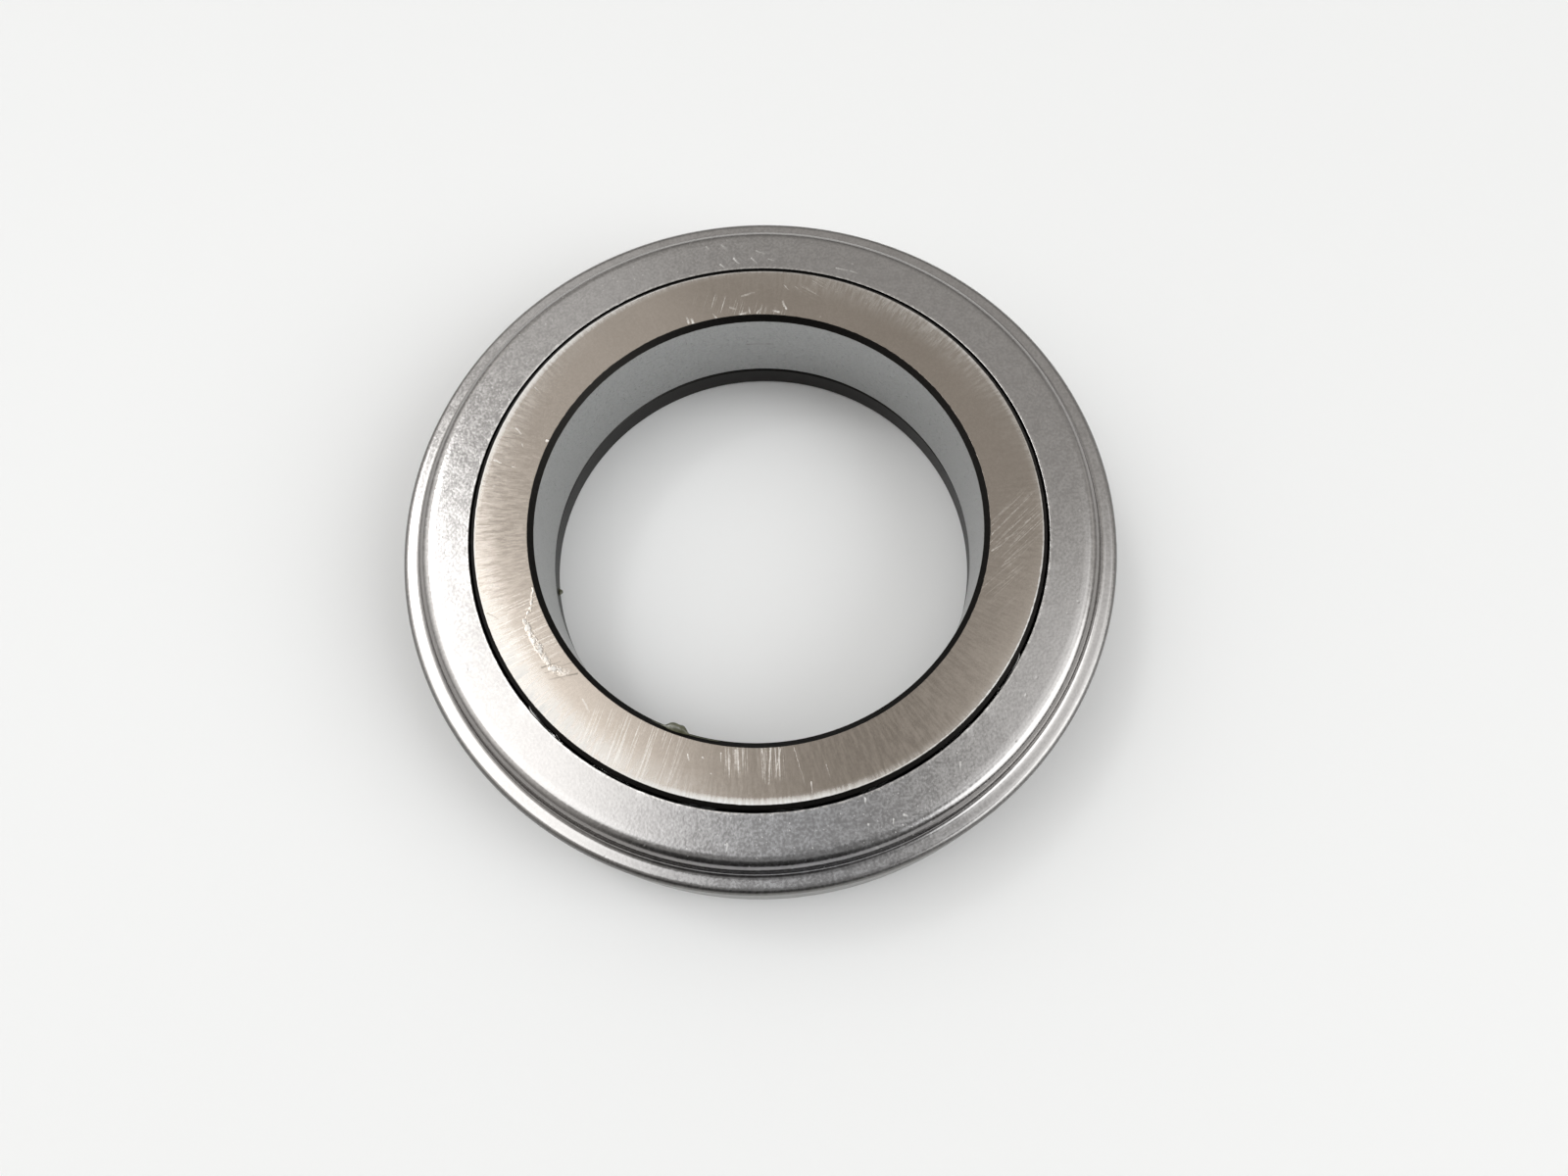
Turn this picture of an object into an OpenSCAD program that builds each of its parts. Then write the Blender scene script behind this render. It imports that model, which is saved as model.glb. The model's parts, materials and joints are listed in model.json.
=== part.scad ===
// Clutch release bearing, an angular contact ball bearing lying on its thrust face.
// The hub ring stands still on a sliding carrier. The thrust race and the shroud that
// is crimped round it turn with the clutch levers, and the caged balls roll between.
// Millimetres, Z up along the axis, origin at the centre of the thrust face.

/* [Hub ring] */
// Bore that is pressed onto the carrier
bore_d = 65.07; // [60:0.01:72]
// Thickness of the neck, between the bore and the balls
neck_t = 4.25; // [3.2:0.05:7]
// Thickness of the head, over the balls
head_t = 4.83; // [3.5:0.01:7]
// How far the head stops short of the ball pitch circle
head_inset = 0.95; // [0.4:0.05:2.5]
// Chamfer at the mouth of the bore
mouth_chamfer = 0.8; // [0.3:0.05:1.5]
// Chamfer round the abutment face
face_chamfer = 0.6; // [0.2:0.05:1.5]
// Edge break round the foot of the neck
foot_chamfer = 0.4; // [0.1:0.05:1]

/* [Thrust race] */
// Thickness of the race under the balls
floor_t = 4.4; // [3:0.1:7]
// Thickness of the race wall round the balls
race_wall_t = 3.34; // [2:0.01:5]
// How much wider than the hub ring the race is bored, on the radius
race_bore_relief = 0.3; // [0.1:0.05:1]
// Gap between the foot of the hub ring and the race
race_gap = 0.5; // [0.2:0.05:1.5]
// Edge break on the corners of the race
race_chamfer = 0.4; // [0.1:0.05:1]
// Clearance of the top corner of the race inside the bend of the rim
rim_clearance = 0.1; // [0.05:0.05:0.4]

/* [Balls and cage] */
// Diameter of a ball, seven sixteenths of an inch
ball_d = 11.1125; // [9.5:0.0125:12.5]
// Number of balls
ball_count = 20; // [10:1:21]
// Clearance between a ball and each groove
ball_clearance = 0.15; // [0.05:0.01:0.3]
// Angle of the load through a ball, up from the plane of the ball centres
contact_angle = 45; // [40:1:50]
// Thickness of the cage
cage_t = 1.2; // [0.8:0.05:1.8]
// Clearance between a ball and its pocket, on the radius
pocket_clearance = 0.2; // [0.1:0.01:0.4]
// Clearance between the rims of the cage and the steel round them
cage_clearance = 0.5; // [0.2:0.05:0.8]

/* [Shroud] */
// Thickness of the pressed sheet
sheet_t = 0.85; // [0.6:0.05:1.4]
// Running gap between the head of the hub ring and the shroud's hole
hole_clearance = 0.35; // [0.2:0.05:1]
// How far the abutment face stands proud of the shroud
face_proud = 0.65; // [0.2:0.05:1.2]
// Outside radius of the bend at the shoulder
shoulder_r = 2.3; // [1.65:0.05:3]
// Slope of the step, down from the plate
step_angle = 70; // [55:1:85]
// Straight length of the step, between its two bends
step_l = 0.65; // [0.05:0.05:2]
// Inside radius of the bend at the foot of the step
step_foot_r = 1.1; // [0.3:0.05:1.5]
// Flat width of the ledge, between its two bends
ledge_flat_w = 0.8; // [0.6:0.05:3]
// Inside radius of the bend at the rim
rim_inner_r = 0.1; // [0.05:0.05:0.4]
// Height at which the skirt turns in under the race
crimp_h = 4.2; // [3.2:0.1:7]
// Angle through which the skirt turns in
crimp_angle = 45; // [35:1:60]
// Length of the crimped lip
crimp_l = 1.8; // [1:0.1:2.4]

/* [Hidden] */
$fn = 96;

// Ball track
ball_r = ball_d / 2;
groove_r = ball_r + ball_clearance;
bore_r = bore_d / 2;
neck_r = bore_r + neck_t;
pitch_r = neck_r + groove_r;
ball_z = floor_t + groove_r;
ball_step = 360 / ball_count;

// Hub ring
bearing_h = floor_t + 2 * groove_r + head_t;
head_r = pitch_r - head_inset;
ring_foot_z = floor_t + race_gap;

// Thrust race
race_bore_r = bore_r + race_bore_relief;
race_wall_r = pitch_r + groove_r;
race_r = race_wall_r + race_wall_t;
thrust_face_r = race_r - crimp_h / tan(crimp_angle);
rim_chamfer = rim_inner_r + rim_clearance;

// Cage, a cone that crosses the line of load at the ball centres
pocket_r = ball_r + pocket_clearance;
cage_slope = 90 - contact_angle;
cage_reach = groove_r - cage_clearance;
cage_half_l = min(
    (cage_reach - cage_t / 2 * sin(cage_slope)) / cos(cage_slope),
    (cage_reach - cage_t / 2 * cos(cage_slope)) / sin(cage_slope)
);

// Shroud
rim_outer_r = rim_inner_r + sheet_t;
shoulder_inner_r = shoulder_r - sheet_t;
step_bends_r = shoulder_r + step_foot_r;
step_w = step_bends_r * sin(step_angle) + step_l * cos(step_angle);
step_h = step_bends_r * (1 - cos(step_angle)) + step_l * sin(step_angle);
hole_r = head_r + hole_clearance;
ledge_r = race_r + sheet_t - rim_outer_r - ledge_flat_w;
plate_w = ledge_r - step_w - hole_r;
shroud_top_z = bearing_h - face_proud;
ledge_z = shroud_top_z - step_h;
skirt_h = ledge_z - rim_outer_r - crimp_h;
race_top_z = ledge_z - sheet_t;

// Each fold of the sheet: straight length, turn (down is positive), inside radius
shroud_folds = [
    [plate_w, step_angle, shoulder_inner_r],
    [step_l, -step_angle, step_foot_r],
    [ledge_flat_w, 90, rim_inner_r],
    [skirt_h, crimp_angle, 0],
    [crimp_l, 0, 0]
];

function ball_name(i) = str("ball_", i < 10 ? "0" : "", i);

// The circle in which a ball runs, where the section is cut
module groove() {
    translate([pitch_r, ball_z]) circle(groove_r);
}

// Bend of the sheet round its inside radius, from the leg before it to the leg after it
module bend(inner_r, turn) {
    reach = 2 * (inner_r + sheet_t);
    difference() {
        circle(inner_r + sheet_t);
        if (inner_r > 0) circle(inner_r);
        translate([-reach, -reach]) square([reach, 2 * reach]);
        rotate(-turn) translate([0, -reach]) square([reach, 2 * reach]);
    }
}

// Section of a pressed sheet, drawn leg by leg and bend by bend from its first edge
module folded_section(folds, i = 0) {
    leg = folds[i][0];
    turn = folds[i][1];
    r = folds[i][2];
    square([leg, sheet_t]);
    if (turn > 0) translate([leg, -r]) {
        bend(r, turn);
        rotate(-turn) translate([0, r]) folded_section(folds, i + 1);
    }
    if (turn < 0) translate([leg, sheet_t + r]) {
        bend(r, turn);
        rotate(-turn) translate([0, -sheet_t - r]) folded_section(folds, i + 1);
    }
}

// Places its children at the centre of a ball, with X pointing away from the axis
module at_ball(i) {
    rotate((i - 1) * ball_step) translate([pitch_r, 0, ball_z]) children();
}

// Stationary ring: ground bore and abutment face, groove under its head
module hub_ring() color("#a09a92") rotate_extrude() difference() {
    polygon([
        [bore_r, ring_foot_z + foot_chamfer],
        [bore_r + foot_chamfer, ring_foot_z],
        [neck_r - foot_chamfer, ring_foot_z],
        [neck_r, ring_foot_z + foot_chamfer],
        [neck_r, ball_z],
        [head_r, ball_z],
        [head_r, bearing_h - face_chamfer],
        [head_r - face_chamfer, bearing_h],
        [bore_r + mouth_chamfer, bearing_h],
        [bore_r, bearing_h - mouth_chamfer]
    ]);
    groove();
}

// Rotating ring: flat thrust face below, groove between its floor and its wall
module thrust_race() color("#6f6d6a") rotate_extrude() difference() {
    polygon([
        [race_bore_r, race_chamfer],
        [race_bore_r + race_chamfer, 0],
        [thrust_face_r, 0],
        [race_r, crimp_h],
        [race_r, race_top_z - rim_chamfer],
        [race_r - rim_chamfer, race_top_z],
        [race_wall_r + race_chamfer, race_top_z],
        [race_wall_r, race_top_z - race_chamfer],
        [race_wall_r, ball_z],
        [pitch_r, ball_z],
        [pitch_r, floor_t],
        [race_bore_r + race_chamfer, floor_t],
        [race_bore_r, floor_t - race_chamfer]
    ]);
    groove();
}

// Pressed cover: plate, step, ledge and skirt, crimped under the race
module shroud() color("#b4b4b2") rotate_extrude()
    translate([hole_r, shroud_top_z - sheet_t]) folded_section(shroud_folds);

// Conical steel cage with one round pocket for each ball
module ball_cage() color("#8c8a84") difference() {
    rotate_extrude() translate([pitch_r, ball_z]) rotate(cage_slope)
        square([2 * cage_half_l, cage_t], center = true);
    for (i = [1 : ball_count]) at_ball(i) rotate([0, 90 + contact_angle, 0])
        cylinder(r = pocket_r, h = ball_d, center = true);
}

// One ball of the set
module ball(i) color("#c9c9c9") at_ball(i) sphere(r = ball_r);

hub_ring();
thrust_race();
shroud();
ball_cage();
for (i = [1 : ball_count])
    ball(i);
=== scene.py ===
import bpy
import json
import math
import numpy as np
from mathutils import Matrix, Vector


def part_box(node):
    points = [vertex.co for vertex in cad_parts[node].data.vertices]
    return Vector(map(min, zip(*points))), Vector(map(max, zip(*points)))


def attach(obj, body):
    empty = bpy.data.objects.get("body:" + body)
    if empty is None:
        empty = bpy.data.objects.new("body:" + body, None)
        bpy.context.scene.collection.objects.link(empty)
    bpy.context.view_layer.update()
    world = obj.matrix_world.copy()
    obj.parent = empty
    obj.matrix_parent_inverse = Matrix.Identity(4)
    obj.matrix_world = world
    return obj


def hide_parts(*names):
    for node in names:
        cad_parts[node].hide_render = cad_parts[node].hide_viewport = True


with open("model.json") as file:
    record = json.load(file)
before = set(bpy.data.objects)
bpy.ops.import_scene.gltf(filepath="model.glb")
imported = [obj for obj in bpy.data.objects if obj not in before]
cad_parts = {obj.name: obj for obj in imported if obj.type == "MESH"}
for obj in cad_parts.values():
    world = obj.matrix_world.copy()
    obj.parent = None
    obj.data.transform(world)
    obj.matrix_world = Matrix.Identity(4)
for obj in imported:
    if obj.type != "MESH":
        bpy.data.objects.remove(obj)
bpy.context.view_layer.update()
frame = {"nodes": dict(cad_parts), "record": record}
print("frame loaded,", len(frame["nodes"]), "nodes")

mm = 0.001  # sizes below are in millimetres, the frame is in metres


def nodeReach(node):  # outer radius, lowest and highest z of a node, in millimetres
    low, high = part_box(node)
    return high.x / mm, low.z / mm, high.z / mm


# sizes that the pieces share, all read from the frame
boreMount = next(m for m in frame["record"]["mounts"] if m["name"] == "hub_bore")
boreR = boreMount["dims"]["r_mm"]
headR, footZ, topZ = nodeReach("hub_ring")
raceR, _, raceTopZ = nodeReach("thrust_race")
plateZ = nodeReach("shroud")[2]
ballLow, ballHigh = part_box("ball_01")
pitchR = (ballLow.x + ballHigh.x) / 2 / mm
ballZ = (ballLow.z + ballHigh.z) / 2 / mm


# meshes

def roundedSection(corners, size):
    # Closed outline of named (r, z, fillet) corners: every corner gives way to an arc tangent to its two
    # legs, p = centre + arm turned by a share of the corner's turn, and every leg is cut in even steps.
    # Gives the points, how far along the outline each is, and how far along each corner's middle is.
    arcSteps, legSteps = size["arcSteps"], size["legSteps"]
    rows = np.array(list(corners.values()), float)
    tips, fillet = rows[:, :2], rows[:, 2]
    into = tips - np.roll(tips, 1, 0)
    into /= np.linalg.norm(into, axis=1, keepdims=True)
    out = np.roll(into, -1, 0)
    turn = np.arctan2(into[:, 0] * out[:, 1] - into[:, 1] * out[:, 0], (into * out).sum(1))
    start = tips - into * (fillet * np.tan(np.abs(turn) / 2))[:, None]
    side = np.sign(turn)[:, None] * np.stack([-into[:, 1], into[:, 0]], 1)
    centre = start + side * fillet[:, None]
    arm = (start - centre)[:, None]
    sweep = np.linspace(0, 1, arcSteps + 1) * turn[:, None]
    across = np.stack([-arm[..., 1], arm[..., 0]], -1)
    arc = centre[:, None] + arm * np.cos(sweep)[..., None] + across * np.sin(sweep)[..., None]
    nextStart = np.roll(arc[:, :1], -1, 0)
    share = np.linspace(0, 1, legSteps + 2)[1:-1, None]
    leg = arc[:, -1:] + (nextStart - arc[:, -1:]) * share
    points = np.concatenate([arc, leg], 1)
    along = np.linalg.norm(np.diff(points.reshape(-1, 2), axis=0), axis=1)
    along = np.concatenate([[0], np.cumsum(along)])
    middle = np.arange(len(corners)) * points.shape[1] + arcSteps // 2
    return points.reshape(-1, 2), along, dict(zip(corners, along[middle].tolist()))


def wrapQuads(rows, columns):  # quads of a grid that closes on itself both ways
    index = np.arange(rows * columns).reshape(rows, columns)
    beside = np.roll(index, -1, 1)
    return np.stack([index, beside, np.roll(beside, -1, 0), np.roll(index, -1, 0)], -1).reshape(-1, 4)


def meshObject(name, points, quads):  # points in millimetres
    mesh = bpy.data.meshes.new(name)
    mesh.vertices.add(len(points))
    mesh.vertices.foreach_set("co", (points * mm).ravel())
    mesh.loops.add(quads.size)
    mesh.loops.foreach_set("vertex_index", quads.ravel())
    mesh.polygons.add(len(quads))
    mesh.polygons.foreach_set("loop_start", np.arange(0, quads.size, 4))
    mesh.update(calc_edges=True)
    mesh.validate()
    mesh.shade_smooth()
    piece = bpy.data.objects.new(name, mesh)
    bpy.context.scene.collection.objects.link(piece)
    return piece


def gridNormals(grid):
    # Normal of a closed grid: step round the axis crossed with step along the section, both by central
    # differences.
    around = np.roll(grid, -1, 1) - np.roll(grid, 1, 1)
    along = np.roll(grid, -1, 0) - np.roll(grid, 1, 0)
    normals = np.cross(around, along)
    return normals / np.linalg.norm(normals, axis=-1, keepdims=True)


def latheObject(name, size, corners, swell=None):
    # Surface of revolution: the section's point (r, z) goes to (r cos a, r sin a, z) at every angle a,
    # then out along its normal by swell(along, a). The map "unrolled" holds the turn and the way along.
    section, along, cornerAt = roundedSection(corners, size)
    angle = np.linspace(-math.pi, math.pi, size["turns"], endpoint=False)
    r, z = section[:, :1], section[:, 1:]
    grid = np.stack([r * np.cos(angle), r * np.sin(angle), z + 0 * angle], -1)
    if swell:
        grid = grid + gridNormals(grid) * swell(along[:, None], angle)[..., None]
    rows, columns = grid.shape[:2]
    piece = meshObject(name, grid.reshape(-1, 3), wrapQuads(rows, columns))
    piece.data.normals_split_custom_set_from_vertices(gridNormals(grid).reshape(-1, 3).tolist())
    length = along[-1] + np.linalg.norm(section[0] - section[-1])
    u = (np.arange(columns)[None, :, None] + np.array([0, 1, 1, 0])) / columns + 0 * along[:, None, None]
    v = np.append(along, length)
    v = np.stack([v[:-1], v[:-1], v[1:], v[1:]], -1)[:, None] + 0 * u
    layer = piece.data.uv_layers.new(name="unrolled")
    layer.uv.foreach_set("vector", np.stack([u, v], -1).astype(np.float32).ravel())
    print(name, "has", len(piece.data.polygons), "faces")
    return piece, cornerAt


def ringAttribute(piece, name, base, patches):
    # Value by angle, laid on every point: a base plus soft patches, each its strength times the bell
    # exp(-(angle from its middle / half width)^2).
    points = np.empty(len(piece.data.vertices) * 3)
    piece.data.vertices.foreach_get("co", points)
    angle = np.degrees(np.arctan2(points[1::3], points[0::3]))
    value = np.full(len(angle), base)
    for middle, half, strength in patches:
        apart = (angle - middle + 180) % 360 - 180
        value += strength * np.exp(-(apart / half) ** 2)
    layer = piece.data.attributes.new(name, "FLOAT", "POINT")
    layer.data.foreach_set("value", value.astype(np.float32))


# node helpers

def put(tree, kind, inputs=None, **settings):
    node = tree.nodes.new(kind)
    for key, value in settings.items():
        setattr(node, key, value)
    for key, value in (inputs or {}).items():
        if isinstance(value, bpy.types.NodeSocket):
            tree.links.new(value, node.inputs[key])
        else:
            node.inputs[key].default_value = value
    return node


def calc(tree, operation, *values):
    return put(tree, "ShaderNodeMath", dict(enumerate(values)), operation=operation).outputs[0]


def vector(tree, operation, *values):
    return put(tree, "ShaderNodeVectorMath", dict(enumerate(values)), operation=operation).outputs[0]


def measure(tree, operation, *values):  # one number from vectors, such as a length or a dot product
    return put(tree, "ShaderNodeVectorMath", dict(enumerate(values)), operation=operation).outputs["Value"]


def times(tree, first, second):
    return calc(tree, "MULTIPLY", first, second)


def spread(tree, value, base, reach):  # base + reach * value
    return calc(tree, "MULTIPLY_ADD", value, reach, base)


def scaled(tree, place, factor):
    return put(tree, "ShaderNodeVectorMath", {0: place, "Scale": factor}, operation="SCALE").outputs[0]


def ramp(tree, value, low, high, toLow=0.0, toHigh=1.0):  # smooth step from low to high
    inputs = {"Value": value, "From Min": low, "From Max": high, "To Min": toLow, "To Max": toHigh}
    step = put(tree, "ShaderNodeMapRange", inputs, interpolation_type="SMOOTHSTEP", clamp=False)
    return step.outputs[0]


def mixValue(tree, factor, first, second):
    return put(tree, "ShaderNodeMix", {0: factor, 2: first, 3: second}, data_type="FLOAT").outputs[0]


def mixColor(tree, factor, first, second, blend="MIX"):
    node = put(tree, "ShaderNodeMix", {0: factor}, data_type="RGBA", blend_type=blend)
    for key, value in ((6, first), (7, second)):
        if isinstance(value, bpy.types.NodeSocket):
            tree.links.new(value, node.inputs[key])
        else:
            node.inputs[key].default_value = (*value, 1.0)
    return node.outputs[2]


def noise(tree, place, scale, detail=3.0, rough=0.55):
    inputs = {"Vector": place, "Scale": scale, "Detail": detail, "Roughness": rough}
    return put(tree, "ShaderNodeTexNoise", inputs).outputs[0]


def objectPlace(tree):  # object coordinates in millimetres
    return scaled(tree, put(tree, "ShaderNodeTexCoord").outputs["Object"], 1 / mm)


def newGroup(name, inputs, outputs):
    group = bpy.data.node_groups.new(name, "ShaderNodeTree")
    for socketName, kind, value in inputs:
        socket = group.interface.new_socket(socketName, in_out="INPUT", socket_type="NodeSocket" + kind)
        socket.default_value = value
    for socketName, kind in outputs:
        group.interface.new_socket(socketName, in_out="OUTPUT", socket_type="NodeSocket" + kind)
    return group, group.nodes.new("NodeGroupInput").outputs, group.nodes.new("NodeGroupOutput").inputs


def useGroup(tree, group, inputs=None):
    return put(tree, "ShaderNodeGroup", inputs, node_tree=group).outputs


# effects that several finishes share

def placeGroup():
    # Object coordinates in millimetres, the radius, a seamless unit vector round the axis, and the way
    # along the section from the map.
    tree, _, made = newGroup(
        "ring place", [],
        [("Place", "Vector"), ("Radius", "Float"), ("Round", "Vector"), ("Along", "Float")],
    )
    place = objectPlace(tree)
    flat = vector(tree, "MULTIPLY", place, (1.0, 1.0, 0.0))
    unrolled = put(tree, "ShaderNodeUVMap", uv_map="unrolled").outputs[0]
    tree.links.new(place, made["Place"])
    tree.links.new(measure(tree, "LENGTH", flat), made["Radius"])
    tree.links.new(vector(tree, "NORMALIZE", flat), made["Round"])
    tree.links.new(put(tree, "ShaderNodeSeparateXYZ", {0: unrolled}).outputs["Y"], made["Along"])
    return tree


def bandGroup():
    # A stretch of the section, 1 between two places along it, whose edges wander by a noise.
    tree, given, made = newGroup(
        "section band",
        [("Along", "Float", 0.0), ("From", "Float", 0.0), ("To", "Float", 1.0), ("Soft", "Float", 0.05),
         ("Wander", "Float", 0.0), ("Noise", "Float", 0.5)],
        [("Mask", "Float")],
    )
    shift = times(tree, calc(tree, "SUBTRACT", given["Noise"], 0.5), given["Wander"])
    where = calc(tree, "ADD", given["Along"], shift)
    rise = ramp(tree, where, calc(tree, "SUBTRACT", given["From"], given["Soft"]),
                calc(tree, "ADD", given["From"], given["Soft"]))
    fall = ramp(tree, where, calc(tree, "SUBTRACT", given["To"], given["Soft"]),
                calc(tree, "ADD", given["To"], given["Soft"]), 1.0, 0.0)
    tree.links.new(times(tree, rise, fall), made["Mask"])
    return tree


def strokeGroup():
    # Fine marks that run one way: noise on the seamless unit vector round the axis and on the way along,
    # each with its own pitch, so the marks lie along whichever pitch is the coarser.
    tree, given, made = newGroup(
        "tool strokes",
        [("Round", "Vector", (0, 0, 0)), ("Along", "Float", 0.0), ("Round Pitch", "Float", 40.0),
         ("Along Pitch", "Float", 1.0), ("Detail", "Float", 3.0)],
        [("Tone", "Float")],
    )
    around = scaled(tree, given["Round"], given["Round Pitch"])
    lift = times(tree, given["Along"], given["Along Pitch"])
    lift = put(tree, "ShaderNodeCombineXYZ", {2: lift}).outputs[0]
    marks = noise(tree, vector(tree, "ADD", around, lift), 1.0, given["Detail"], 0.6)
    tree.links.new(marks, made["Tone"])
    return tree


def nickGroup():
    # Scattered small nicks: distance to the nearest point of a stretched cell pattern, kept where a
    # cell's own random value is high.
    tree, given, made = newGroup(
        "scattered nicks",
        [("Place", "Vector", (0, 0, 0)), ("Pitch", "Float", 1.5), ("Size", "Float", 0.2),
         ("Share", "Float", 0.2)],
        [("Mask", "Float")],
    )
    warp = put(tree, "ShaderNodeTexNoise", {"Vector": given["Place"], "Scale": 2.5, "Detail": 2.0})
    warp = vector(tree, "MULTIPLY", warp.outputs[1], (0.5, 0.5, 0.5))
    bent = vector(tree, "ADD", given["Place"], warp)
    perPitch = calc(tree, "DIVIDE", 1.0, given["Pitch"])
    cells = put(tree, "ShaderNodeTexVoronoi", {"Vector": bent, "Scale": perPitch})
    luck = put(tree, "ShaderNodeSeparateColor", {0: cells.outputs["Color"]}).outputs[0]
    kept = ramp(tree, luck, calc(tree, "SUBTRACT", 1.0, given["Share"]), 1.0)
    reach = calc(tree, "DIVIDE", given["Size"], given["Pitch"])
    spot = ramp(tree, cells.outputs["Distance"], 0.0, reach, 1.0, 0.0)
    tree.links.new(times(tree, spot, kept), made["Mask"])
    return tree


def scratchGroup():
    # A patch of parallel scratches: the place is turned about the patch's centre, noise that is long one
    # way and short the other is cut to thin lines, and the patch fades out at its length and width. The
    # larger of that and the mask before it goes on.
    tree, given, made = newGroup(
        "scratch patch",
        [("Place", "Vector", (0, 0, 0)), ("Centre", "Vector", (0, 0, 0)), ("Angle", "Float", 0.0),
         ("Length", "Float", 3.0), ("Width", "Float", 2.0), ("Pitch", "Float", 4.0), ("Cut", "Float", 0.6),
         ("Strength", "Float", 0.4), ("Before", "Float", 0.0)],
        [("Mask", "Float")],
    )
    longPitch, softCut = 0.12, 0.14  # features per mm along a scratch, and how softly the noise is cut
    apart = vector(tree, "SUBTRACT", given["Place"], given["Centre"])
    turned = put(tree, "ShaderNodeVectorRotate", {"Vector": apart, "Angle": given["Angle"]},
                 rotation_type="Z_AXIS", invert=True).outputs[0]
    parts = put(tree, "ShaderNodeSeparateXYZ", {0: turned}).outputs
    longWay = times(tree, parts[0], longPitch)
    shortWay = times(tree, parts[1], given["Pitch"])
    stretch = put(tree, "ShaderNodeCombineXYZ", {0: longWay, 1: shortWay}).outputs[0]
    lines = noise(tree, vector(tree, "ADD", stretch, given["Centre"]), 1.0, 1.5, 0.7)
    fullAt = calc(tree, "ADD", given["Cut"], softCut)
    thin = ramp(tree, lines, given["Cut"], fullAt, 0.0, given["Strength"])
    lengthShare = calc(tree, "DIVIDE", calc(tree, "ABSOLUTE", parts[0]), given["Length"])
    widthShare = calc(tree, "DIVIDE", calc(tree, "ABSOLUTE", parts[1]), given["Width"])
    inside = times(tree, ramp(tree, lengthShare, 0.35, 1.0, 1.0, 0.0),
                   ramp(tree, widthShare, 0.45, 1.0, 1.0, 0.0))
    mask = times(tree, thin, inside)
    tree.links.new(calc(tree, "MAXIMUM", given["Before"], mask), made["Mask"])
    return tree


def strokeLineGroup():
    # One stroke: the nearest point of the segment From + share * Way, share kept between 0 and 1. The
    # mask falls smoothly from the line to nothing at the width, and by two thirds from start to end. The
    # larger of that and the mask before it goes on.
    tree, given, made = newGroup(
        "single stroke",
        [("Place", "Vector", (0, 0, 0)), ("From", "Vector", (0, 0, 0)), ("Way", "Vector", (1, 0, 0)),
         ("Per Length", "Float", 1.0), ("Width", "Float", 0.1), ("Strength", "Float", 1.0),
         ("Before", "Float", 0.0)],
        [("Mask", "Float")],
    )
    apart = vector(tree, "SUBTRACT", given["Place"], given["From"])
    dot = measure(tree, "DOT_PRODUCT", apart, given["Way"])
    share = calc(tree, "MINIMUM", times(tree, dot, given["Per Length"]), 1.0)
    share = calc(tree, "MAXIMUM", share, 0.0)
    gap = vector(tree, "SUBTRACT", apart, scaled(tree, given["Way"], share))
    gap = measure(tree, "LENGTH", gap)
    fade = spread(tree, share, 1.0, -0.67)
    mask = ramp(tree, gap, 0.0, given["Width"], times(tree, given["Strength"], fade), 0.0)
    tree.links.new(calc(tree, "MAXIMUM", given["Before"], mask), made["Mask"])
    return tree


ringPlace = placeGroup()
sectionBand = bandGroup()
toolStrokes = strokeGroup()
scatteredNicks = nickGroup()
scratchPatch = scratchGroup()
singleStroke = strokeLineGroup()


def newFinish(name, metallic=1.0):
    material = bpy.data.materials.new(name)
    material.use_nodes = True
    tree = material.node_tree
    shader = tree.nodes["Principled BSDF"]
    shader.inputs["Metallic"].default_value = metallic
    return material, tree, shader


def dress(tree, shader, color, rough, height=None):  # height of the bump in millimetres
    tree.links.new(color, shader.inputs["Base Color"])
    tree.links.new(rough, shader.inputs["Roughness"])
    if height is not None:
        bump = put(tree, "ShaderNodeBump", {"Height": height, "Distance": mm, "Strength": 1.0})
        tree.links.new(bump.outputs[0], shader.inputs["Normal"])


def wobbled(tree, place, reach):  # place shaken by up to half the reach, so no stroke runs dead straight
    shake = put(tree, "ShaderNodeTexNoise", {"Vector": place, "Scale": 1.3, "Detail": 2.0}).outputs[1]
    shake = vector(tree, "SUBTRACT", shake, (0.5, 0.5, 0.5))
    return vector(tree, "ADD", place, scaled(tree, shake, reach))


def strokes(tree, place, z, rows):  # single strokes, joined in one mask
    mask = 0.0
    for x0, y0, x1, y1, width, strength in rows:
        way = (x1 - x0, y1 - y0, 0.0)
        mask = useGroup(tree, singleStroke, {
            "Place": place, "From": (x0, y0, z), "Way": way, "Per Length": 1 / (way[0] ** 2 + way[1] ** 2),
            "Width": width, "Strength": strength, "Before": mask})["Mask"]
    return mask


def scratches(tree, place, z, rows):  # patches of parallel scratches, joined in one mask
    mask = 0.0
    for x, y, turn, length, width, pitch, cut, strength in rows:
        mask = useGroup(tree, scratchPatch, {
            "Place": place, "Centre": (x, y, z), "Angle": math.radians(turn), "Length": length,
            "Width": width, "Pitch": pitch, "Cut": cut, "Strength": strength, "Before": mask})["Mask"]
    return mask


def bandMaker(tree, along, ragged):  # gives a function that masks one stretch of the section
    def band(start, end, soft, wander):
        return useGroup(tree, sectionBand, {
            "Along": along, "From": start, "To": end, "Soft": soft, "Wander": wander,
            "Noise": ragged})["Mask"]
    return band


def brushing(tree, at, along, roundPitch, alongPitch, detail):
    return useGroup(tree, toolStrokes, {
        "Round": at["Round"], "Along": along, "Round Pitch": roundPitch, "Along Pitch": alongPitch,
        "Detail": detail})["Tone"]


def nicksOn(tree, place, pitch, reach, share):
    return useGroup(tree, scatteredNicks, {
        "Place": place, "Pitch": pitch, "Size": reach, "Share": share})["Mask"]


def attribute(tree, name):
    return put(tree, "ShaderNodeAttribute", attribute_name=name).outputs["Fac"]


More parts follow.
